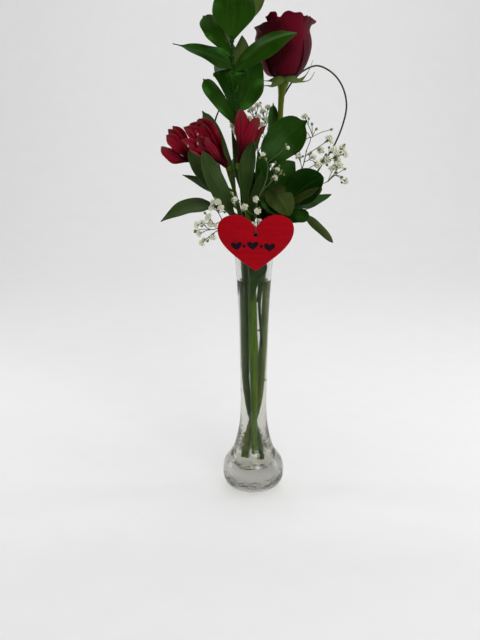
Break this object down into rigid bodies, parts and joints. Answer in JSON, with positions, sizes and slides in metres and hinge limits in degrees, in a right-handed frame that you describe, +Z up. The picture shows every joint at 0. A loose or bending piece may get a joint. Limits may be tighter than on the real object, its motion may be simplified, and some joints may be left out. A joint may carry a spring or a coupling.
{
  "type": "rose in a bud vase",
  "caption": "Red rose with alstroemeria, ruscus, baby's breath and bear grass in a slender clear glass bud vase of water, with a painted wooden heart tag tied at the neck.",
  "frame": {"origin": "middle of the vase's flat foot, on the surface that it stands on", "axes": "+Z up along the vase's axis; -Y towards the viewer, where the heart tag hangs; +X to the viewer's right, where the rose leans"},
  "size_m": [0.157, 0.0777, 0.4311],
  "materials": {
    "glass": "clear smooth glass",
    "water": "clear water, standing in for a liquid",
    "painted_wood": "red satin paint over wood, darker at the edges",
    "cord": "thin dark twisted thread",
    "rose_green": "smooth yellow-green stem and sepals, brown bark near the cut end",
    "rose_petal": "velvety dark crimson petals, almost black in the folds",
    "ruscus": "glossy dark green leaves with fine parallel veins",
    "alstroemeria_green": "matte grey-green leaves with long veins",
    "alstroemeria_petal": "satin dark red petals with green-grey streaks",
    "babys_breath": "matte cream florets on fine grey-green twigs",
    "bear_grass": "satin dark grey-green blades"
  },
  "bodies": {
    "root": {"vase": "glass", "water": "water", "heart_tag": "painted_wood", "tag_cord": "cord", "rose_stem": "rose_green", "rose_bloom": "rose_petal", "ruscus_tall": "ruscus", "ruscus_middle": "ruscus", "ruscus_low": "ruscus", "alstroemeria_left": "alstroemeria_green", "alstroemeria_centre": "alstroemeria_green", "bloom_far_left": "alstroemeria_petal", "bloom_open": "alstroemeria_petal", "bloom_centre": "alstroemeria_petal", "babys_breath_right": "babys_breath", "babys_breath_left": "babys_breath", "babys_breath_front": "babys_breath", "babys_breath_back": "babys_breath", "grass_right": "bear_grass", "grass_left": "bear_grass"}
  },
  "joints": []
}
